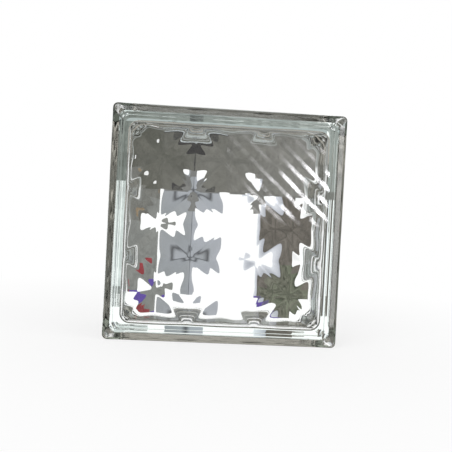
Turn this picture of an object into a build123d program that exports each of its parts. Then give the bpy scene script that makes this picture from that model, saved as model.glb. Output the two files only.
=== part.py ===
from build123d import *
import math
import os

# Hollow glass block, pressed as two equal half shells that are fused rim to rim.
# Millimetres. X is the width, Y the depth with the front towards -Y, and Z is up.
# The origin is the middle of the bottom: the block stands on its two bottom flange lands.

# Driving dimensions
face_width = 190.0
face_height = 190.0
block_depth = 80.0
plate_thickness = 9.5       # face plate, from the outer face to the crests of its dimples
wall_thickness = 6.5        # side wall at the fused seam
key_depth = 4.5             # how far the side walls stand in behind the flanges, for mortar
flange_land = 8.0           # flat side of a flange, along the depth
key_slope_length = 5.0      # depth over which a flange slopes down to the side wall
flange_corner_radius = 4.0  # upright corners of the flanges
wall_corner_radius = 8.0    # upright corners of the side walls, outside
face_edge_radius = 2.5      # rounded rim of an outer face
draft_angle = 2.5           # degrees, so that the plunger leaves the pressing
floor_fillet = 3.0          # from the dimples' floor up to the side walls
fillet_sink = 0.5           # how far that rounding runs out below the dimples' tips
seam_bead = 1.2             # glass squeezed out along the fused seam, inside and out
dimple_depth = 3.3          # from the crests down to the tip of a dimple
dimple_rows = 3             # dimples in a row, from one side wall to the other

# Worked out from them
half_depth = block_depth / 2
wall_height = half_depth - plate_thickness
draft_inset = wall_height * math.tan(math.radians(draft_angle))
outer_width = face_width - 2 * key_depth
outer_height = face_height - 2 * key_depth
cavity_width = outer_width - 2 * wall_thickness
cavity_height = outer_height - 2 * wall_thickness
cavity_corner_radius = wall_corner_radius
pattern_width = cavity_width - 2 * draft_inset
pattern_height = cavity_height - 2 * draft_inset
foot_level = plate_thickness - dimple_depth - fillet_sink


def plate(width, height, radius, depth):
    """Rounded slab with its lower face at z = 0."""
    return extrude(RectangleRounded(width, height, radius), depth)


def edges_at(solid, level):
    """Edges that lie wholly in one level plane."""
    return solid.edges().filter_by_position(Axis.Z, level - 0.001, level + 0.001)


def flange():
    """Face plate with its rounded rim and flat lands, as an outer form."""
    slab = plate(face_width, face_height, flange_corner_radius, flange_land)
    return fillet(edges_at(slab, 0), face_edge_radius)


def key_slope():
    """Sloping back of the flange, down to the side wall."""
    rim = RectangleRounded(face_width, face_height, flange_corner_radius)
    foot = RectangleRounded(outer_width, outer_height, wall_corner_radius)
    return Pos(0, 0, flange_land) * loft([rim, Pos(0, 0, key_slope_length) * foot])


def outer_form():
    """Outside of one half shell, its outer face at z = 0 and its seam at half_depth."""
    wall = plate(outer_width, outer_height, wall_corner_radius, half_depth)
    rim = outer_width + 2 * seam_bead
    rim_up = outer_height + 2 * seam_bead
    bead = plate(rim, rim_up, wall_corner_radius + seam_bead, seam_bead)
    bead = fillet(edges_at(bead, 0), 0.9 * seam_bead)
    return flange() + key_slope() + wall + Pos(0, 0, half_depth - seam_bead) * bead


def room_down_to(level):
    """Room left by the plunger between the drafted side walls, with a level floor."""
    mouth = RectangleRounded(cavity_width, cavity_height, cavity_corner_radius)
    room = extrude(mouth, half_depth - level, taper=draft_angle)
    return Pos(0, 0, half_depth) * (Rot(180, 0, 0) * room)


def inner_bead():
    """Small ring of squeezed glass inside the seam."""
    mouth = plate(cavity_width + seam_bead, cavity_height + seam_bead, cavity_corner_radius, seam_bead)
    hole_width = cavity_width - 2 * seam_bead
    hole_height = cavity_height - 2 * seam_bead
    ring = mouth - plate(hole_width, hole_height, cavity_corner_radius - seam_bead, seam_bead)
    return Pos(0, 0, half_depth - seam_bead) * ring


def dimple_room(step_x, step_y):
    """Room over one dimple: a shallow four-sided pyramid standing on its tip."""
    corners = [(step_x, 0), (0, step_y), (-step_x, 0), (0, -step_y)]
    brim = Pos(0, 0, plate_thickness) * make_face(Polyline(*corners, close=True))
    tip = Vertex(0, 0, plate_thickness - dimple_depth)
    return loft([brim, tip])


def dimples():
    """Rooms over all dimples, on a grid turned by 45 degrees, out to the side walls."""
    step_x = pattern_width / (2 * dimple_rows)
    step_y = pattern_height / (2 * dimple_rows)
    one = dimple_room(step_x, step_y)
    steps = range(-dimple_rows, dimple_rows + 1)
    places = [(m, n) for m in steps for n in steps if (m + n) % 2]
    rooms = [Pos(m * step_x, n * step_y, 0) * one for m, n in places]
    field = room_down_to(foot_level)
    field = fillet(edges_at(field, foot_level), floor_fillet)
    return [room & field for room in rooms]


def half_shell():
    """One pressed half: face plate, flange and side walls, dimpled inside."""
    shell = outer_form() - room_down_to(plate_thickness) + inner_bead()
    for room in dimples():
        shell = shell - room
    return shell


def main():
    os.makedirs("parts", exist_ok=True)
    shell = half_shell()
    middle = face_height / 2
    front = Plane(origin=(0, -half_depth, middle), x_dir=(1, 0, 0), z_dir=(0, 1, 0))
    back = Plane(origin=(0, half_depth, middle), x_dir=(1, 0, 0), z_dir=(0, -1, 0))
    export_step(front * shell, "parts/front_half.step")
    export_step(back * shell, "parts/back_half.step")


main()
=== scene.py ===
import logging
import math
from dataclasses import dataclass, field
from enum import Enum
from typing import Any, Sequence

import bmesh
import bpy
import numpy as np
from mathutils import Euler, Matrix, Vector


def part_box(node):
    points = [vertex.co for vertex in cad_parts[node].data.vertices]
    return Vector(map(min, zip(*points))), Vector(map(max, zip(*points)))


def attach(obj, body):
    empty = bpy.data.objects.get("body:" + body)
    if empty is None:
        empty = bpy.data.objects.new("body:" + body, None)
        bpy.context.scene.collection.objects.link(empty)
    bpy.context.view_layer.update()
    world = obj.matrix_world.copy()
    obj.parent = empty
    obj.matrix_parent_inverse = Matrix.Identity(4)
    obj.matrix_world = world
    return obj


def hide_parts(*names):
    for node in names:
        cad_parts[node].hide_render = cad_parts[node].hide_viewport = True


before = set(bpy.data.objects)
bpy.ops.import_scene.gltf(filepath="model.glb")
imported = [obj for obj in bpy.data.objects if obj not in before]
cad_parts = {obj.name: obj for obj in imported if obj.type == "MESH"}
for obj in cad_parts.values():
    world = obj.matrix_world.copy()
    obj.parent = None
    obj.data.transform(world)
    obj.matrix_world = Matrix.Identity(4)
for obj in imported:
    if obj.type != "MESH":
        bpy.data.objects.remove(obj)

# Looks of a hollow pressed glass block. Metres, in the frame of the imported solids:
# X is the width, Y the depth with the front towards -Y, and Z is up from the floor.

LOG = logging.getLogger("glass_block")
Number = "Value | float"
Colour = tuple[float, float, float]
Paint = "Colour | bpy.types.NodeSocket"
Span = tuple[float, float]
HALF_STEP = 0.5  # how often light passed is a whole number, told from the next half-way
CREST = 0.5  # place of a crest across a dimple, from its middle, as a share of the dimple


class Side(Enum):
    """Side of the block that a card stands on, with the sign of its depth."""

    FRONT = -1
    BACK = 1


class Through(Enum):
    """Part of the block that a card is seen through, with the times light goes in or out."""

    RIM = (2,)
    AIR_SPACE = (4,)
    BOTH = (2, 4)


class Value:
    """A number socket of a node tree that takes part in Python sums."""

    def __init__(self, graph: "Graph", socket: bpy.types.NodeSocket) -> None:
        """Keeps the socket and the graph that new nodes go into."""
        self.graph = graph
        self.socket = socket

    def apply(self, operation: str, *others: Number) -> "Value":
        """Adds one Math node.

        Args:
            operation: Math operation of the node.
            others: the values after this one.

        Returns:
            The node's result.
        """
        return self.graph.sum_of(operation, self, *others)

    def __add__(self, other: Number) -> "Value":
        """This plus other."""
        return self.apply("ADD", other)

    def __radd__(self, other: Number) -> "Value":
        """Other plus this."""
        return self.apply("ADD", other)

    def __sub__(self, other: Number) -> "Value":
        """This less other."""
        return self.apply("SUBTRACT", other)

    def __rsub__(self, other: Number) -> "Value":
        """Other less this."""
        return self.graph.sum_of("SUBTRACT", other, self)

    def __mul__(self, other: Number) -> "Value":
        """This times other."""
        return self.apply("MULTIPLY", other)

    def __rmul__(self, other: Number) -> "Value":
        """Other times this."""
        return self.apply("MULTIPLY", other)

    def __truediv__(self, other: Number) -> "Value":
        """This over other."""
        return self.apply("DIVIDE", other)

    def __rtruediv__(self, other: Number) -> "Value":
        """Other over this."""
        return self.graph.sum_of("DIVIDE", other, self)

    def __abs__(self) -> "Value":
        """Size without its sign."""
        return self.apply("ABSOLUTE")

    def root(self) -> "Value":
        """Square root, and 0 for what is below 0."""
        return self.apply("MAXIMUM", 0.0).apply("SQRT")

    def clamped(self) -> "Value":
        """Kept between 0 and 1."""
        return self.apply("MAXIMUM", 0.0).apply("MINIMUM", 1.0)

    def rise(self, start: Number, end: Number) -> "Value":
        """0 up to start, 1 from end on, and a straight ramp between them."""
        return ((self - start) / (end - start)).clamped()


class Graph:
    """Builds the nodes of one tree."""

    def __init__(self, tree: bpy.types.NodeTree) -> None:
        """Keeps the tree."""
        self.tree = tree

    def node(self, kind: str, settings: dict[str, Any] | None = None,
             inputs: dict[str | int, Any] | None = None) -> bpy.types.Node:
        """Adds one node.

        Args:
            kind: node type.
            settings: properties of the node, set first.
            inputs: values or links for its sockets, by name or place.

        Returns:
            The new node.
        """
        node = self.tree.nodes.new(kind)
        for name, value in (settings or {}).items():
            setattr(node, name, value)
        for key, value in (inputs or {}).items():
            self.feed(node.inputs[key], value)
        return node

    def feed(self, socket: bpy.types.NodeSocket, value: Any) -> None:
        """Gives a socket its value or link.

        Args:
            socket: input socket.
            value: a Value, another socket, or a constant.
        """
        if isinstance(value, Value):
            value = value.socket
        if isinstance(value, bpy.types.NodeSocket):
            self.tree.links.new(value, socket)
        else:
            socket.default_value = value

    def sum_of(self, operation: str, *values: Number) -> Value:
        """Adds a Math node.

        Args:
            operation: Math operation.
            values: its values in order.

        Returns:
            The node's result.
        """
        node = self.node("ShaderNodeMath", {"operation": operation}, dict(enumerate(values)))
        return self.value(node.outputs[0])

    def value(self, socket: bpy.types.NodeSocket) -> Value:
        """Wraps a socket for sums."""
        return Value(self, socket)

    def constant(self, number: float) -> Value:
        """Adds a fixed number that takes part in sums.

        Args:
            number: the number.

        Returns:
            The number as a socket.
        """
        node = self.node("ShaderNodeValue")
        node.outputs[0].default_value = number
        return self.value(node.outputs[0])

    def place(self) -> bpy.types.NodeSocket:
        """Object coordinates."""
        return self.node("ShaderNodeTexCoord").outputs["Object"]

    def parts(self, vector: bpy.types.NodeSocket) -> list[Value]:
        """The x, y and z of a vector."""
        return [self.value(out) for out in self.node("ShaderNodeSeparateXYZ", inputs={0: vector}).outputs]

    def path(self, name: str) -> Value:
        """What the light path says under a name."""
        return self.value(self.node("ShaderNodeLightPath").outputs[name])

    def seen(self) -> Value:
        """1 for rays of the camera and those that the glass bends or throws back."""
        camera, glossy, bent = map(self.path, ("Is Camera Ray", "Is Glossy Ray", "Is Transmission Ray"))
        return camera.apply("MAXIMUM", glossy).apply("MAXIMUM", bent)

    def crossed(self, times: int) -> Value:
        """1 for rays that went in or out of the glass so many times."""
        return abs(self.path("Transmission Depth") - float(times)).apply("LESS_THAN", HALF_STEP)

    def crossed_over(self, times: int) -> Value:
        """1 for rays that went in or out of the glass more times than that."""
        return self.path("Transmission Depth").apply("GREATER_THAN", times + HALF_STEP)

    def reflected(self) -> Value:
        """1 for rays that were reflected on their way."""
        return self.path("Glossy Depth").apply("GREATER_THAN", HALF_STEP)

    def mix_colour(self, share: Number, first: Paint, second: Paint) -> bpy.types.NodeSocket:
        """Mixes two colours.

        Args:
            share: share of the second colour.
            first: colour or socket at share 0.
            second: colour or socket at share 1.

        Returns:
            The mixed colour.
        """
        ends = {name: (*end, 1.0) if isinstance(end, tuple) else end
                for name, end in (("A", first), ("B", second))}
        node = self.node("ShaderNodeMix", {"data_type": "RGBA"}, {"Factor": share, **ends})
        return node.outputs["Result"]

    def scaled(self, vector: Paint, factor: Number) -> bpy.types.NodeSocket:
        """A colour or vector times a number."""
        inputs = {0: vector, "Scale": factor}
        return self.node("ShaderNodeVectorMath", {"operation": "SCALE"}, inputs).outputs[0]

    def either(self, share: Number, first: bpy.types.Node, second: bpy.types.Node) -> bpy.types.NodeSocket:
        """Mixes two shaders, the second by its share."""
        inputs = {0: share, 1: first.outputs[0], 2: second.outputs[0]}
        return self.node("ShaderNodeMixShader", inputs=inputs).outputs[0]


def new_material(name: str) -> tuple[bpy.types.Material, Graph]:
    """Adds a material with an empty tree.

    Args:
        name: name of the material.

    Returns:
        The material, and the graph that fills its tree.
    """
    material = bpy.data.materials.new(name)
    material.use_nodes = True
    material.node_tree.nodes.clear()
    return material, Graph(material.node_tree)


def add_object(name: str, data: bpy.types.ID) -> bpy.types.Object:
    """Adds an object to the scene, at the origin.

    Args:
        name: name of the object.
        data: its mesh, lamp or camera.

    Returns:
        The object.
    """
    item = bpy.data.objects.new(name, data)
    bpy.context.scene.collection.objects.link(item)
    return item


@dataclass(frozen=True)
class BlockForm:
    """Real sizes of the block, in metres, as its solids have them."""

    width: float
    height: float
    depth: float
    plate: float = 0.0095
    wall: float = 0.0065
    key: float = 0.0045
    land: float = 0.008
    slope: float = 0.005
    flange_corner: float = 0.004
    wall_corner: float = 0.008
    rim_round: float = 0.0025
    draft: float = math.radians(2.5)
    bead: float = 0.0012
    dimple_rows: int = 3

    @classmethod
    def from_frame(cls) -> "BlockForm":
        """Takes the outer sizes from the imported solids."""
        low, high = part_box("front_half")
        return cls(high.x - low.x, high.z - low.z, 2 * max(abs(low.y), abs(high.y)))

    @property
    def half_depth(self) -> float:
        """From the seam to an outer face."""
        return self.depth / 2

    @property
    def wall_half(self) -> float:
        """From the middle to the outside of a side wall."""
        return self.width / 2 - self.key

    @property
    def mouth_half(self) -> float:
        """From the middle to the inside of a side wall, at the seam."""
        return self.wall_half - self.wall

    @property
    def crest_level(self) -> float:
        """From the seam plane to the crests of the dimples."""
        return self.half_depth - self.plate

    @property
    def floor_half(self) -> float:
        """From the middle to a side wall, at the level of the crests."""
        return self.mouth_half - self.crest_level * math.tan(self.draft)

    @property
    def half_period(self) -> float:
        """From the middle of a dimple to the star where its crests cross."""
        return self.floor_half / self.dimple_rows


@dataclass
class Surface:
    """Points and faces of one closed skin, collected loop by loop."""

    points: list[tuple[float, float, float]] = field(default_factory=list)
    faces: list[tuple[int, ...]] = field(default_factory=list)

    def add_loop(self, flat: np.ndarray, level: float) -> list[int]:
        """Adds the points of one loop.

        Args:
            flat: x and z of each point.
            level: y of all of them.

        Returns:
            Their numbers.
        """
        start = len(self.points)
        self.points += [(float(x), level, float(z)) for x, z in flat]
        return list(range(start, len(self.points)))

    def join(self, first: Sequence[int], second: Sequence[int]) -> None:
        """Fills the strip between two loops with quads.

        Args:
            first: numbers of the points of one loop.
            second: those of the other, as many.
        """
        count = len(first)
        for i in range(count):
            j = (i + 1) % count
            self.faces.append((first[i], first[j], second[j], second[i]))

    def merge(self, other: "Surface") -> None:
        """Takes in another skin.

        Args:
            other: the skin whose points and faces are added.
        """
        start = len(self.points)
        self.points += other.points
        self.faces += [tuple(i + start for i in face) for face in other.faces]

    def both_halves(self) -> "Surface":
        """Adds the mirror image beyond the seam plane.

        Returns:
            Both skins in one, facing the right way.
        """
        whole = Surface([(x, -y, z) for x, y, z in self.points],
                        [tuple(reversed(face)) for face in self.faces])
        whole.merge(self)
        return whole

    @classmethod
    def of_mesh(cls, mesh: bpy.types.Mesh) -> "Surface":
        """The points and faces of a mesh."""
        return cls([tuple(v.co) for v in mesh.vertices], [tuple(p.vertices) for p in mesh.polygons])

    def raised(self, height: float) -> "Surface":
        """The same skin, so much higher."""
        return Surface([(x, y, z + height) for x, y, z in self.points], self.faces)

    def mesh(self, name: str, weld: float = 1e-6) -> bpy.types.Mesh:
        """Makes the mesh.

        Args:
            name: name of the mesh.
            weld: points closer than this become one.

        Returns:
            The mesh, smooth all over.
        """
        mesh = bpy.data.meshes.new(name)
        mesh.from_pydata(self.points, [], self.faces)
        work = bmesh.new()
        work.from_mesh(mesh)
        bmesh.ops.remove_doubles(work, verts=work.verts, dist=weld)
        work.to_mesh(mesh)
        work.free()
        mesh.shade_smooth()
        return mesh


def rounded_loop(half_x: float, half_z: float, radius: float, straight: int, arc: int) -> np.ndarray:
    """Points round a rectangle with rounded corners, about the origin.

    Args:
        half_x: half its width.
        half_z: half its height.
        radius: radius of the corners.
        straight: steps along each straight side.
        arc: steps round each corner.

    Returns:
        x and z of the points, anticlockwise as seen with x to the right and z up.
    """
    signs = [(1, 1), (-1, 1), (-1, -1), (1, -1)]
    centres = [np.array([sx * (half_x - radius), sz * (half_z - radius)]) for sx, sz in signs]
    points = []
    for corner, centre in enumerate(centres):
        following = centres[(corner + 1) % len(centres)]
        angles = [(corner + i / arc) * math.pi / 2 for i in range(arc + 1)]
        round_points = [radius * np.array([math.cos(angle), math.sin(angle)]) for angle in angles]
        points += [centre + point for point in round_points[:arc]]
        begin, end = centre + round_points[arc], following + round_points[arc]
        points += [begin + (end - begin) * (i / straight) for i in range(straight)]
    return np.array(points)


@dataclass
class OuterSkin:
    """Outside of the block: faces, rounded rims, flanges, mortar key and seam.

    Loops that stand off from an edge by hold keep its shading narrow, face_holds does so on a
    face, and ease is how far the edge itself is taken back.
    """

    form: BlockForm
    arc_steps: int = 12
    side_steps: int = 10
    round_steps: int = 8
    bead_steps: int = 5
    bead_reach: float = 0.55
    face_holds: tuple[float, ...] = (0.0012, 0.0003)
    hold: float = 0.0004
    ease: float = 0.0001
    least_corner: float = 0.001

    def profile(self) -> list[tuple[float, float, float]]:
        """Section of one half from the face to the seam.

        Returns:
            For each loop, its distance from the face, how far it stands in from the full
            width, and its corner radius.
        """
        f, hold, ease = self.form, self.hold, self.ease
        corner, wall_corner = f.flange_corner, f.wall_corner
        rows = [(0.0, f.rim_round + apart, corner) for apart in self.face_holds]
        for i in range(self.round_steps + 1):
            angle = i / self.round_steps * math.pi / 2
            rows.append((f.rim_round * (1 - math.cos(angle)), f.rim_round * (1 - math.sin(angle)), corner))
        foot = f.land + f.slope
        rows += [(f.rim_round + hold, 0.0, corner), (f.land - hold, 0.0, corner),
                 (f.land, ease, corner), (f.land + hold, hold + ease, corner),
                 (foot - hold, f.key - hold - ease, wall_corner),
                 (foot, f.key - ease, wall_corner), (foot + hold, f.key, wall_corner)]
        start = f.half_depth - f.bead
        rows += [(start - f.bead / 2, f.key, wall_corner), (start - ease, f.key - ease, wall_corner)]
        for i in range(1, self.bead_steps):
            angle = i / self.bead_steps * math.pi / 2
            rows.append((start + f.bead * math.sin(angle) * self.bead_reach,
                         f.key - f.bead * (1 - math.cos(angle)), wall_corner + f.bead / 2))
        rows.append((f.half_depth, f.key - f.bead, wall_corner + f.bead))
        return rows

    def build(self) -> Surface:
        """Both halves, to be welded at the seam.

        Returns:
            The closed skin, facing outwards.
        """
        f = self.form
        half = Surface()
        before: list[int] = []
        for distance, inset, radius in self.profile():
            corner = max(radius - min(inset, f.rim_round), self.least_corner)
            loop = rounded_loop(f.width / 2 - inset, f.height / 2 - inset, corner,
                                self.side_steps, self.arc_steps)
            now = half.add_loop(loop, distance - f.half_depth)
            if before:
                half.join(now, before)
            else:
                half.faces.append(tuple(now))
            before = now
        return half.both_halves()


@dataclass
class CavitySkin:
    """Wall of the air space: dimpled floors, rounded feet, drafted walls and seam.

    A dimple's half width has so many cells of the floor's grid, and wall_shares are the
    heights of the loops on a drafted wall, up to hold from the seam's bead.
    """

    form: BlockForm
    cells: int = 27
    foot_cells: int = 3
    corner_cells: int = 5
    foot_steps: int = 6
    wall_shares: tuple[float, ...] = (0.12, 0.3, 0.55, 0.8, 1.0)
    bead_steps: int = 4
    hold: float = 0.0004

    @property
    def cell(self) -> float:
        """Spacing of the floor's grid."""
        return self.form.half_period / self.cells

    @property
    def foot(self) -> float:
        """Radius of the rounding between a floor and the walls."""
        return self.foot_cells * self.cell

    @property
    def count(self) -> int:
        """Cells from the middle to the edge of the flat grid."""
        return self.cells * self.form.dimple_rows - self.foot_cells

    def grid_point(self, i: int, k: int) -> tuple[float, float]:
        """Place of a grid point, with the square's corners rounded.

        Args:
            i: number of the column from the middle.
            k: number of the row from the middle.

        Returns:
            x and z.
        """
        inner = self.count - self.corner_cells
        a, b = abs(i) - inner, abs(k) - inner
        if a <= 0 or b <= 0:
            return i * self.cell, k * self.cell
        u, v = a / self.corner_cells, b / self.corner_cells
        size = self.corner_cells * self.cell
        x = inner * self.cell + size * u * math.sqrt(1 - v * v / 2)
        z = inner * self.cell + size * v * math.sqrt(1 - u * u / 2)
        return math.copysign(x, i), math.copysign(z, k)

    def rim_numbers(self, index: np.ndarray) -> list[int]:
        """Numbers of the grid's outermost points, from the right side's top, anticlockwise.

        Args:
            index: number of each grid point.

        Returns:
            The loop, in the order of rounded_loop.
        """
        n, c = self.count, self.corner_cells
        last = 2 * n
        right = [(last, k) for k in range(last)]
        top = [(i, last) for i in range(last, 0, -1)]
        left = [(0, k) for k in range(last, 0, -1)]
        bottom = [(i, 0) for i in range(last)]
        ring = right + top + left + bottom
        start = last - c
        ring = ring[start:] + ring[:start]
        return [int(index[i, k]) for i, k in ring]

    def add_floor(self, skin: Surface) -> list[int]:
        """Adds the flat grid that the dimples are sunk into.

        Args:
            skin: skin of the front half.

        Returns:
            Numbers of its outermost points.
        """
        n = self.count
        level = -self.form.crest_level
        index = np.zeros((2 * n + 1, 2 * n + 1), int)
        for i in range(-n, n + 1):
            for k in range(-n, n + 1):
                x, z = self.grid_point(i, k)
                index[i + n, k + n] = len(skin.points)
                skin.points.append((x, level, z))
        for i in range(-n, n):
            for k in range(-n, n):
                a, b = int(index[i + n, k + n]), int(index[i + n + 1, k + n])
                c, d = int(index[i + n + 1, k + n + 1]), int(index[i + n, k + n + 1])
                if (i // self.cells + k // self.cells) % 2:
                    skin.faces += [(a, d, b), (b, d, c)]
                else:
                    skin.faces += [(a, c, b), (a, d, c)]
        return self.rim_numbers(index)

    def wall_rows(self) -> list[tuple[float, float, float]]:
        """Section of the wall from its rounded foot to the seam.

        Returns:
            For each loop, half its width, its level and its corner radius.
        """
        f = self.form
        base = self.count * self.cell
        corner = self.corner_cells * self.cell
        rows = []
        for i in range(1, self.foot_steps + 1):
            angle = i / self.foot_steps * (math.pi / 2 - f.draft)
            out, up = self.foot * math.sin(angle), self.foot * (1 - math.cos(angle))
            rows.append((base + out, -f.crest_level + up, corner + out))
        foot_half, low, corner = rows[-1]
        high = -f.bead - self.hold
        for share in self.wall_shares:
            up = (high - low) * share
            rows.append((foot_half + up * math.tan(f.draft), low + up, corner))
        side = rows[-1][0]
        for i in range(1, self.bead_steps + 1):
            angle = i / self.bead_steps * math.pi / 2
            rows.append((side - f.bead * (1 - math.cos(angle)), -f.bead * (1 - math.sin(angle)), corner))
        return rows

    def build(self) -> Surface:
        """Both halves, to be welded at the seam, with level floors.

        Returns:
            The closed skin, facing into the air space.
        """
        half = Surface()
        before = self.add_floor(half)
        arc = 2 * self.corner_cells
        straight = 2 * (self.count - self.corner_cells)
        for half_size, level, radius in self.wall_rows():
            now = half.add_loop(rounded_loop(half_size, half_size, radius, straight, arc), level)
            half.join(before, now)
            before = now
        return half.both_halves()


@dataclass(frozen=True)
class Relief:
    """Shape of one dimple, as the picture in the glass shows it.

    The height over the pit is slope times the two distances from its valleys, plus a cone, a
    bowl and slow waves in step with the dimples. Rounds and waves are in metres, the others
    are slopes.
    """

    slope: float = 0.1591
    valley_round: float = 0.0021
    crest_round: float = 0.0012
    cone: float = -0.0421
    cone_round: float = 0.0026
    bowl: float = 0.0025
    waves: tuple[float, float, float, float] = (-0.000137, 0.000059, 0.000053, 0.000050)


@dataclass
class DimpleField:
    """Geometry nodes that sink soft pyramids into the floors of the cavity."""

    form: BlockForm
    foot: float
    relief: Relief = Relief()
    fade: float = 0.005

    @staticmethod
    def soft(squared: Value, valley: Value) -> Value:
        """Height of a V with a rounded bottom.

        Args:
            squared: distance from the bottom line, squared.
            valley: width of the rounding.

        Returns:
            The height, 0 at the bottom.
        """
        return (squared + valley * valley).root() - valley

    @staticmethod
    def eased(share: Value, crest: Value) -> Value:
        """Place across a dimple, held back near its crests so that they come out round.

        Args:
            share: place from -0.5 at one crest to 0.5 at the other.
            crest: width of the rounding, as a share of the dimple.

        Returns:
            The place, 0 in the middle.
        """
        square = crest * crest
        near = CREST - abs(share)
        return share.apply("SIGN") * ((square + CREST**2).root() - (near * near + square).root())

    def waves(self, given: dict[str, Value], u: Value, v: Value) -> Value:
        """Slow waves laid over the pyramids.

        Args:
            given: the tree's inputs.
            u: place across the dimple, from crest to crest.
            v: the same the other way.

        Returns:
            Their height.
        """
        along, up = (u + v) * math.pi, (u - v) * math.pi

        def pair(first: int, second: int) -> Value:
            """Product of two waves, so many to a dimple."""
            return (along * float(first)).apply("COSINE") * (up * float(second)).apply("COSINE")

        shapes = [pair(1, 1), pair(2, 0) + pair(0, 2), pair(2, 2), pair(3, 1) + pair(1, 3)]
        first, *others = (given[f"Wave {number}"] * shape for number, shape in enumerate(shapes, 1))
        return sum(others, first)

    def height(self, given: dict[str, Value], u: Value, v: Value) -> Value:
        """Height over the pit of a dimple.

        Args:
            given: the tree's inputs.
            u: place across the dimple, from crest to crest.
            v: the same the other way.

        Returns:
            The height.
        """
        period, valley = given["Half Period"], given["Valley Round"]
        crest = given["Crest Round"] / (period * math.sqrt(2.0))
        a, b = self.eased(u, crest), self.eased(v, crest)
        along, up = (a + b) * period, (a - b) * period
        away = along * along + up * up
        sides = self.soft(along * along, valley) + self.soft(up * up, valley)
        cone = given["Cone"] * self.soft(away, given["Cone Round"])
        bowl = given["Bowl"] * away / (2.0 * period)
        return given["Slope"] * sides + cone + bowl + self.waves(given, u, v)

    def tree(self) -> bpy.types.NodeTree:
        """Builds the tree with its named inputs.

        Returns:
            The tree.
        """
        tree = bpy.data.node_groups.new("dimple_field", "GeometryNodeTree")
        face = tree.interface
        face.new_socket("Geometry", in_out="INPUT", socket_type="NodeSocketGeometry")
        names = ["Half Period", *self.settings()]
        for name in names:
            face.new_socket(name, in_out="INPUT", socket_type="NodeSocketFloat")
        face.new_socket("Material", in_out="INPUT", socket_type="NodeSocketMaterial")
        face.new_socket("Geometry", in_out="OUTPUT", socket_type="NodeSocketGeometry")
        graph = Graph(tree)
        source = graph.node("NodeGroupInput")
        given = {name: graph.value(source.outputs[name]) for name in names}
        period = given["Half Period"]
        x, y, z = graph.parts(graph.node("GeometryNodeInputPosition").outputs[0])
        u = ((x + z) / (2.0 * period)).apply("FRACT") - CREST
        v = ((x - z) / (2.0 * period)).apply("FRACT") - CREST
        crest = self.height(given, graph.constant(CREST), graph.constant(0.0))
        sunk = crest - self.height(given, u, v)
        shift = sunk * abs(y).rise(given["Fade End"], given["Fade Start"]) * y.apply("SIGN")
        offset = graph.node("ShaderNodeCombineXYZ", inputs={"Y": shift})
        moved = graph.node("GeometryNodeSetPosition", inputs={"Geometry": source.outputs["Geometry"],
                                                               "Offset": offset.outputs[0]})
        real = graph.node("GeometryNodeRealizeInstances", inputs={0: moved.outputs[0]})
        dressed = graph.node("GeometryNodeSetMaterial", inputs={"Geometry": real.outputs[0],
                                                                 "Material": source.outputs["Material"]})
        graph.node("NodeGroupOutput", inputs={0: dressed.outputs[0]})
        return tree

    def settings(self) -> dict[str, float]:
        """Values of the tree's inputs, all but the period.

        Returns:
            Each value by the name of its input.
        """
        r = self.relief
        start = self.form.crest_level - self.foot
        values = {"Slope": r.slope, "Valley Round": r.valley_round, "Crest Round": r.crest_round,
                  "Cone": r.cone, "Cone Round": r.cone_round, "Bowl": r.bowl}
        values.update({f"Wave {number}": wave for number, wave in enumerate(r.waves, 1)})
        return values | {"Fade Start": start, "Fade End": start - self.fade}

    def apply(self, mesh: bpy.types.Mesh, material: bpy.types.Material) -> bpy.types.Mesh:
        """Sinks the dimples into a mesh.

        Args:
            mesh: skin of the cavity with level floors.
            material: material of the result.

        Returns:
            A plain mesh with the dimples.
        """
        holder = add_object("dimple_work", mesh)
        modifier = holder.modifiers.new("dimples", "NODES")
        modifier.node_group = self.tree()
        values = {"Half Period": self.form.half_period, **self.settings(), "Material": material}
        for item in modifier.node_group.interface.items_tree:
            if item.in_out == "INPUT" and item.name in values:
                modifier[item.identifier] = values[item.name]
        shown = holder.evaluated_get(bpy.context.evaluated_depsgraph_get())
        made = bpy.data.meshes.new_from_object(shown)
        bpy.data.objects.remove(holder)
        return made


@dataclass(frozen=True)
class PressedGlass:
    """Clear soda-lime glass with a faint green tint, fire polished."""

    tint: Colour = (0.80, 0.93, 0.88)
    tint_density: float = 6.0
    refraction: float = 1.52
    roughness: float = 0.0
    ripple_scale: float = 90.0
    ripple_depth: float = 0.000004

    def build(self) -> bpy.types.Material:
        """Makes the material.

        Returns:
            The glass.
        """
        material, graph = new_material("pressed_glass")
        ripple = graph.node("ShaderNodeTexNoise", inputs={
            "Vector": graph.place(), "Scale": self.ripple_scale, "Detail": 1.0, "Roughness": 0.4})
        bump = graph.node("ShaderNodeBump", inputs={"Height": ripple.outputs[0], "Strength": 1.0,
                                                    "Distance": self.ripple_depth})
        glass = graph.node("ShaderNodeBsdfPrincipled", inputs={
            "Base Color": (1.0, 1.0, 1.0, 1.0), "Roughness": self.roughness, "IOR": self.refraction,
            "Transmission Weight": 1.0, "Normal": bump.outputs[0]})
        body = graph.node("ShaderNodeVolumeAbsorption", inputs={"Color": (*self.tint, 1.0),
                                                               "Density": self.tint_density})
        graph.node("ShaderNodeOutputMaterial", inputs={"Surface": glass.outputs[0],
                                                       "Volume": body.outputs[0]})
        return material


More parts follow.
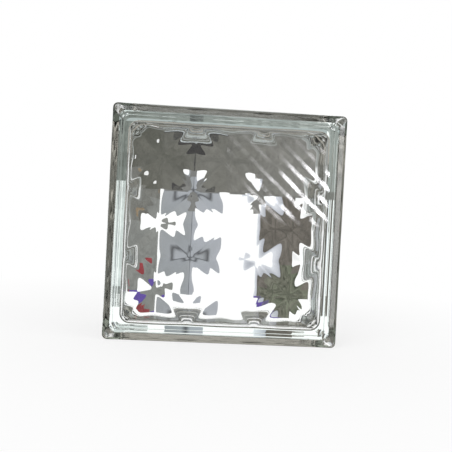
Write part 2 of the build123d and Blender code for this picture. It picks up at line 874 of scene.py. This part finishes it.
@dataclass
class GlassBlock:
    """The whole fused block as one closed piece of glass round its air space."""

    form: BlockForm
    glass: PressedGlass = PressedGlass()

    def build(self) -> bpy.types.Object:
        """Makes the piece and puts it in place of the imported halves.

        Returns:
            The piece.
        """
        material = self.glass.build()
        cavity = CavitySkin(self.form)
        inner = DimpleField(self.form, cavity.foot).apply(cavity.build().mesh("cavity_level"), material)
        whole = Surface.of_mesh(OuterSkin(self.form).build().mesh("outer"))
        whole.merge(Surface.of_mesh(inner))
        mesh = whole.raised(self.form.height / 2).mesh("glass_block")
        mesh.materials.append(material)
        piece = add_object("glass_block", mesh)
        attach(piece, "root")
        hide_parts("front_half", "back_half")
        mesh.calc_loop_triangles()
        LOG.info("glass_block: %d triangles", len(mesh.loop_triangles))
        return piece


@dataclass(frozen=True)
class Card:
    """One upright studio card behind the block, seen only through the glass.

    fade_to is its colour at the right edge, and mottle how unevenly it is dyed.
    """

    name: str
    left: float
    right: float
    low: float
    high: float
    colour: Colour
    fade_to: Colour | None = None
    mottle: float = 0.30
    distance: float = 0.135
    side: Side = Side.BACK
    through: Through = Through.BOTH

    def shade(self, graph: Graph) -> bpy.types.NodeSocket:
        """Colour over the card: a fade from left to right, unevenly dyed.

        Args:
            graph: graph of the card's material.

        Returns:
            The colour.
        """
        place = graph.place()
        across = graph.parts(place)[0].rise(self.left, self.right)
        colour = graph.mix_colour(across, self.colour, self.fade_to or self.colour)
        upright = (1.0, 1.0, 0.45)
        drawn = graph.node("ShaderNodeVectorMath", {"operation": "MULTIPLY"}, {0: place, 1: upright})
        dye = graph.node("ShaderNodeTexNoise", inputs={
            "Vector": drawn.outputs[0], "Scale": 130.0, "Detail": 5.0, "Roughness": 0.62})
        contrast = 4.0 * self.mottle
        return graph.scaled(colour, 1.0 + (graph.value(dye.outputs[0]) - 0.5) * contrast)

    def seen(self, graph: Graph) -> Value:
        """1 for the rays that the card is meant for."""
        first, *others = (graph.crossed(times) for times in self.through.value)
        return sum(others, first)

    def build(self) -> bpy.types.Object:
        """Makes the card.

        Returns:
            The card.
        """
        away = self.side.value * self.distance
        points = [(self.left, away, self.low), (self.right, away, self.low),
                  (self.right, away, self.high), (self.left, away, self.high)]
        mesh = bpy.data.meshes.new(self.name)
        mesh.from_pydata(points, [], [(0, 1, 2, 3)])
        material, graph = new_material(self.name)
        light = graph.node("ShaderNodeEmission", inputs={"Color": self.shade(graph), "Strength": 1.0})
        clear = graph.node("ShaderNodeBsdfTransparent")
        shown = graph.either(self.seen(graph), clear, light)
        graph.node("ShaderNodeOutputMaterial", inputs={"Surface": shown})
        mesh.materials.append(material)
        card = add_object(self.name, mesh)
        card.visible_camera = False
        card.visible_diffuse = False
        card.visible_glossy = self.side is Side.FRONT
        card.visible_transmission = self.side is Side.BACK
        card.visible_shadow = False
        return card


@dataclass(frozen=True)
class Blind(Card):
    """Slanting light slats in front of the block, seen only mirrored in its face.

    The spans are soft edges of the lit part, as shares of the card: at its lower left corner,
    its foot and its head, and along the slant that it is brighter under.
    """

    distance: float = 0.900
    side: Side = Side.FRONT
    spacing: float = 0.040
    slope: float = 0.92
    gap: float = 0.15
    corner: Span = (0.50, 0.75)
    foot: Span = (0.12, 0.245)
    head: Span = (0.0, 0.25)
    slant: float = 0.37
    under: Span = (-0.52, -0.27)
    patches: Span = (0.38, 0.63)
    faint: float = 0.05
    strength: float = 50.0

    def shade(self, graph: Graph) -> bpy.types.NodeSocket:
        """Slats that fall to the right and grow brighter that way.

        Args:
            graph: graph of the card's material.

        Returns:
            The colour.
        """
        place = graph.place()
        x, _, z = graph.parts(place)
        # Painted reflection: noise breaks the slats' light into brighter and dimmer patches, seen only
        # mirrored in the block's face
        light_patches = graph.node("ShaderNodeTexNoise", inputs={"Vector": place, "Scale": 22.0, "Detail": 2.0})
        uneven = graph.value(light_patches.outputs[0]).rise(*self.patches)
        turns = 2.0 * math.pi / (self.spacing * self.slope)
        wave = ((x * self.slope + z) * turns).apply("SINE")
        slats = (wave * (1.0 + self.gap) - self.gap).clamped()
        across, up = x.rise(self.left, self.right), z.rise(self.low, self.high)
        inside = (across + up).rise(*self.corner) * up.rise(*self.foot) * (1.0 - up).rise(*self.head)
        below = (self.slant * across - up).rise(*self.under)
        bright = self.faint + (1.0 - self.faint) * across * below
        return graph.scaled(self.colour, bright * inside * uneven * slats * self.strength)

    def seen(self, graph: Graph) -> Value:
        """1 for the rays that the outside throws back."""
        return graph.crossed(0) * graph.reflected()


@dataclass
class Studio:
    """Floor, cards, soft lamps, room light and camera.

    The spans are where soft edges start and end: aside, behind, above and high in the
    direction that a ray leaves in, those of the floor in metres.
    """

    form: BlockForm
    camera_place: tuple[float, float, float] = (-0.024, -0.480, 0.101)
    camera_turn: tuple[float, float, float] = (89.302, -2.993, -3.095)
    camera_angle: float = 44.93
    card_near: float = 0.134
    room_light: float = 0.7
    white: Colour = (1.0, 1.0, 1.0)
    white_through: Colour = (1.2, 1.2, 1.2)
    mirrored: Colour = (0.600, 0.640, 0.630)
    far_grey: Colour = (0.360, 0.380, 0.370)
    dark: Colour = (0.165, 0.160, 0.140)
    dark_high: Colour = (0.440, 0.415, 0.370)
    dark_low: Colour = (0.150, 0.148, 0.132)
    aside: Span = (0.26, 0.36)
    behind: Span = (0.80, 0.92)
    above: Span = (-0.02, 0.10)
    high: Span = (0.08, 0.18)
    floor_half: float = 6.0
    floor_colour: Colour = (0.86, 0.86, 0.86)
    floor_fade: Span = (0.10, 0.45)
    floor_shadow: float = 0.25
    floor_far: Span = (0.38, 0.60)
    floor_behind: Span = (0.005, 0.015)

    def cards(self) -> list[Card]:
        """Plain strips that give the glass something to bend.

        The near ones stand a little in front, since one card hides another in its own plane.

        Returns:
            The strips behind the block from left to right, with those that only its rim
            shows, then the boards above, the small coloured ones and the blind.
        """
        rim, air, near = Through.RIM, Through.AIR_SPACE, self.card_near
        low, step, top, dark_top, rim_top, high = 0.002, 0.0240, 0.1364, 0.186, 0.200, 0.300
        far_left, left, inner_left = -0.1500, -0.104, -0.0660
        inner_right, right, far_right, wide_right = 0.0570, 0.086, 0.0980, 0.1120
        beige, brown, blue_grey = (0.255, 0.262, 0.250), (0.155, 0.140, 0.123), (0.430, 0.452, 0.490)
        pale, mid, deep = (0.460, 0.480, 0.530), (0.370, 0.390, 0.420), (0.095, 0.100, 0.112)
        dim, light, black = (0.098, 0.100, 0.084), (0.260, 0.256, 0.240), (0.030, 0.030, 0.034)
        red, purple, amber = (0.300, 0.045, 0.055), (0.130, 0.080, 0.380), (0.310, 0.205, 0.100)
        behind = [
            Card("card_beige", left, inner_left, low, top, beige, through=air),
            Card("card_beige_rim", left, -0.0700, step, top, (0.720, 0.760, 0.750), distance=near,
                 through=rim),
            Card("card_beige_low", left, -0.0700, low, step, (0.330, 0.345, 0.335), mottle=0.6,
                 distance=near, through=rim),
            Card("card_brown_low", right, far_right, low, step, (0.300, 0.290, 0.260), mottle=0.6,
                 distance=near, through=rim),
            Card("card_beige_far", far_left, left, low, top, beige, through=air),
            Card("card_grey_left", -0.0521, -0.0345, low, top, (0.350, 0.370, 0.390), mid, mottle=0.07),
            Card("card_line_left", -0.0345, -0.0294, low, top, mid, deep, mottle=0.0),
            Card("card_line_right", -0.0294, -0.0250, low, top, deep, blue_grey, mottle=0.0),
            Card("card_grey_right", -0.0250, -0.0109, low, top, blue_grey, pale, mottle=0.07),
            Card("card_blue", 0.0439, inner_right, low, top, (0.88, 0.90, 0.96), (0.50, 0.52, 0.58),
                 mottle=0.05),
            Card("card_brown", inner_right, right, low, top, brown, mottle=0.5),
            Card("card_brown_far", right, far_right, low, top, brown, mottle=0.5, through=air),
            Card("card_green", inner_right, far_right, low, 0.0420, (0.170, 0.170, 0.135),
                 (0.135, 0.155, 0.108), mottle=0.9, distance=near, through=air)]
        above = [
            Card("card_above", left, wide_right, top, high, dim, light),
            Card("card_above_far", far_left, left, top, high, dim, through=air),
            Card("card_above_right", 0.0220, wide_right, 0.128, top, (0.230, 0.226, 0.212), distance=near),
            Card("card_dark", -0.0600, 0.0040, dark_top, 0.202, black, mottle=0.0, distance=near),
            Card("card_pale", -0.0550, -0.0050, rim_top, 0.230, (0.70, 0.76, 0.78), mottle=0.0,
                 distance=near, through=air),
            Card("card_pale_rim", left, wide_right, rim_top, 0.230, (0.50, 0.54, 0.54), mottle=0.0,
                 distance=near, through=rim),
            Card("card_line_above", -0.0365, -0.0220, top, dark_top, (0.04, 0.04, 0.045), mottle=0.0,
                 distance=near),
            Card("card_beige_up", left, inner_left, 0.106, top, (0.138, 0.136, 0.120), distance=near),
            Card("card_rim_left", far_left, left, top, rim_top, (0.160, 0.174, 0.160), mottle=0.6,
                 distance=near, through=rim),
            Card("card_rim_above", left, wide_right, top, rim_top, (0.240, 0.255, 0.238),
                 (0.400, 0.420, 0.405), mottle=0.6, distance=near, through=rim),
            Card("card_above_left", -0.0500, -0.0120, 0.126, top, (0.205, 0.207, 0.203), distance=near),
            Card("card_spot", -0.1000, -0.0850, 0.151, 0.166, (1.0, 1.0, 1.0), mottle=0.0,
                 distance=near, through=air)]
        glints = {"card_red": (left, -0.0880, low, 0.016, red),
                  "card_red_above": (-0.0940, -0.0850, 0.026, 0.044, red),
                  "card_purple": (-0.0840, inner_left, low, 0.011, purple),
                  "card_purple_right": (0.0460, 0.0680, low, 0.009, purple),
                  "card_amber": (-0.0735, -0.0700, 0.116, 0.134, amber)}
        small = [Card(name, *shape, distance=near, through=air) for name, shape in glints.items()]
        blind = Blind("blind_front", 0.040, 0.290, 0.060, 0.330, (0.97, 0.96, 1.0))
        return [*behind, *above, *small, blind]

    def shown(self, graph: Graph, behind: Value, far: Value, dark: Paint) -> bpy.types.NodeSocket:
        """Colour of the plain surroundings, for the eye and through the glass.

        Args:
            graph: graph of the surroundings.
            behind: 1 for what lies behind the block, 0 for what lies beside it.
            far: 1 for the far end of the room, 0 for what is near.
            dark: what strayed rays see beside the block, so that its edges stand out.

        Returns:
            White, brighter through the glass by what its faces throw back, dimmer where the
            walls of the air space mirror it, and greyer far off, so that the dimples show.
        """
        times = max(Through.AIR_SPACE.value)
        passed, reflected = graph.crossed(times), graph.reflected()
        plain = (graph.crossed(0) + passed) * (1.0 - reflected)
        white = graph.mix_colour(graph.crossed_over(0), self.white, self.white_through)
        grey = graph.mix_colour(passed * (1.0 - behind) * far, white, self.far_grey)
        mirrored = graph.mix_colour(passed * reflected, grey, self.mirrored)
        strayed = ((1.0 - plain) * (1.0 - behind)).apply("MAXIMUM", graph.crossed_over(times))
        return graph.mix_colour(strayed, mirrored, dark)

    def floor(self) -> bpy.types.Object:
        """Pale floor that shows white and keeps the block's shadow.

        Returns:
            The floor.
        """
        half = self.floor_half
        mesh = bpy.data.meshes.new("floor")
        mesh.from_pydata([(-half, -half, 0), (half, -half, 0), (half, half, 0), (-half, half, 0)], [],
                         [(0, 1, 2, 3)])
        material, graph = new_material("pale_floor")
        cloth = graph.node("ShaderNodeBsdfPrincipled", inputs={"Base Color": (*self.floor_colour, 1.0),
                                                               "Roughness": 0.9})
        place = graph.place()
        x, y, _ = graph.parts(place)
        away = graph.value(graph.node("ShaderNodeVectorMath", {"operation": "LENGTH"},
                                      {0: place}).outputs["Value"])
        past_side = (abs(x) - self.form.width / 2).apply("MAXIMUM", 0.0)
        behind = (y - self.form.half_depth - past_side).rise(*self.floor_behind)
        colour = self.shown(graph, behind, away.rise(*self.floor_far), self.dark_low)
        glow = graph.node("ShaderNodeEmission", inputs={"Color": colour, "Strength": 1.0})
        direct = graph.crossed(0) * (1.0 - graph.reflected())
        lit = (1.0 - self.floor_shadow) + self.floor_shadow * away.rise(*self.floor_fade)
        share = graph.seen() * lit.apply("MAXIMUM", 1.0 - direct)
        graph.node("ShaderNodeOutputMaterial", inputs={"Surface": graph.either(share, cloth, glow)})
        mesh.materials.append(material)
        floor = add_object("floor", mesh)
        return floor

    def world(self) -> None:
        """Plain room light, white where it is seen directly or in the glass."""
        world = bpy.data.worlds.new("room")
        world.use_nodes = True
        world.node_tree.nodes.clear()
        bpy.context.scene.world = world
        graph = Graph(world.node_tree)
        unseen = graph.node("ShaderNodeBackground", inputs={"Color": (*self.white, 1.0),
                                                            "Strength": self.room_light})
        x, y, z = graph.parts(graph.node("ShaderNodeTexCoord").outputs["Generated"])
        behind = y.rise(*self.behind) * (1.0 - x.rise(*self.aside))
        high = z.rise(*self.high) * (1.0 - graph.crossed(0))
        dark = graph.mix_colour(high, self.dark, self.dark_high)
        colour = self.shown(graph, behind, z.rise(*self.above), dark)
        room = graph.node("ShaderNodeBackground", inputs={"Color": colour, "Strength": 1.0})
        graph.node("ShaderNodeOutputWorld", inputs={"Surface": graph.either(graph.seen(), unseen, room)})

    def lamp(self, name: str, place: Vector, size: float, power: float) -> bpy.types.Object:
        """One soft square lamp that shines at the block.

        Args:
            name: name of the lamp.
            place: where it hangs.
            size: side of the square.
            power: watts.

        Returns:
            The lamp.
        """
        data = bpy.data.lights.new(name, "AREA")
        data.size = size
        data.energy = power
        lamp = add_object(name, data)
        lamp.location = place
        aim = Vector((0.0, 0.0, self.form.height / 2)) - place
        lamp.rotation_euler = aim.to_track_quat("-Z", "Y").to_euler()
        lamp.visible_glossy = False
        lamp.visible_transmission = False
        return lamp

    def camera(self) -> bpy.types.Object:
        """Camera where the photograph was taken from, a little left and low, rolled.

        Returns:
            The camera.
        """
        data = bpy.data.cameras.new("camera")
        data.angle = math.radians(self.camera_angle)
        data.clip_start = 0.01
        camera = add_object("camera", data)
        camera.location = self.camera_place
        camera.rotation_euler = Euler([math.radians(a) for a in self.camera_turn], "XYZ")
        bpy.context.scene.camera = camera
        return camera

    def build(self) -> None:
        """Sets the whole stage."""
        bpy.context.scene.view_settings.view_transform = "Standard"
        self.floor()
        cards = self.cards()
        for card in cards:
            card.build()
        self.world()
        self.lamp("key_lamp", Vector((-1.2, -1.4, 1.8)), size=1.2, power=18.0)
        self.lamp("fill_lamp", Vector((1.5, -0.8, 1.2)), size=1.2, power=9.0)
        self.camera()
        LOG.info("studio: %d cards", len(cards))


def main() -> None:
    """Builds the block and its stage."""
    logging.basicConfig(level=logging.INFO, format="%(name)s: %(message)s")
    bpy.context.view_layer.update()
    form = BlockForm.from_frame()
    GlassBlock(form).build()
    Studio(form).build()


if __name__ == "__main__":
    main()
